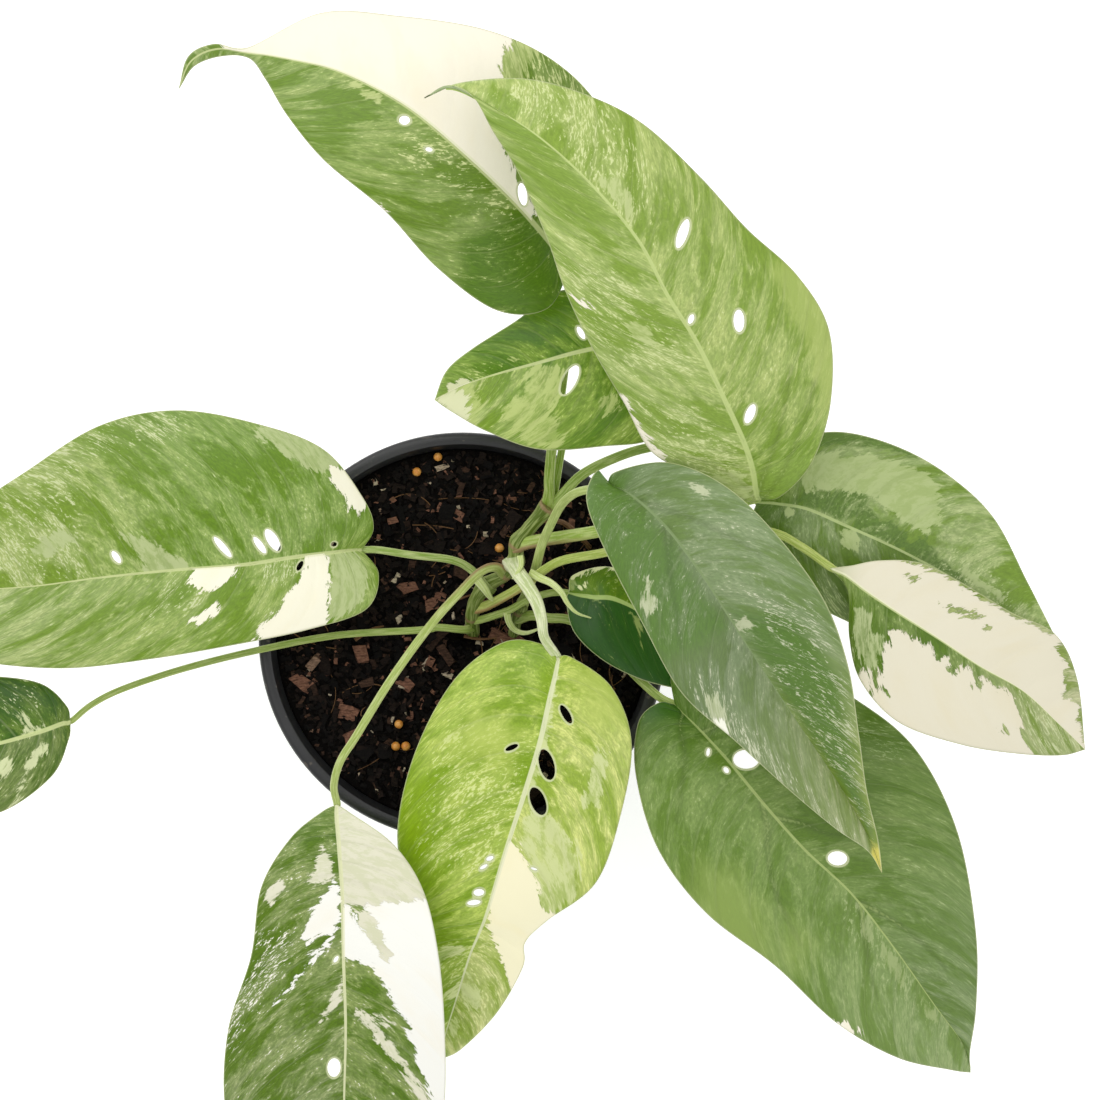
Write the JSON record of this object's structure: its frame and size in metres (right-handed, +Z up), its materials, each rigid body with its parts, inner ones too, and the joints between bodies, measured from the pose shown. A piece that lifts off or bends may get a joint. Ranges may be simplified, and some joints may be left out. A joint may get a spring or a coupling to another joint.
{
  "type": "potted epipremnum pinnatum",
  "caption": "Potted variegated climbing aroid with broad pointed green and cream leaves, some with small windows, on arching stalks in a black tapered nursery pot.",
  "frame": {"origin": "centre of the pot's base, on the surface it stands on", "axes": "+Z up through the pot, +X to the right and +Y to the back as seen from above"},
  "size_m": [0.5243, 0.5304, 0.3247],
  "materials": {
    "pot": "satin black polypropylene, a little dusty",
    "soil": "dark bark potting mix",
    "stem": "smooth green, striped",
    "root": "rough brown",
    "leaf": "semi-gloss green with cream and pale green patches"
  },
  "bodies": {
    "root": {"pot": "pot", "soil": "soil", "main_stem": "stem", "second_shoot": "stem", "aerial_root": "root", "leaf_back_left": "leaf", "leaf_back_right": "leaf", "leaf_small_back": "leaf", "leaf_middle": "leaf", "leaf_right_back": "leaf", "leaf_right_front": "leaf", "leaf_small_dark": "leaf", "leaf_front_right": "leaf", "leaf_front": "leaf", "leaf_front_left": "leaf", "leaf_left": "leaf", "leaf_small_left": "leaf"}
  },
  "joints": []
}
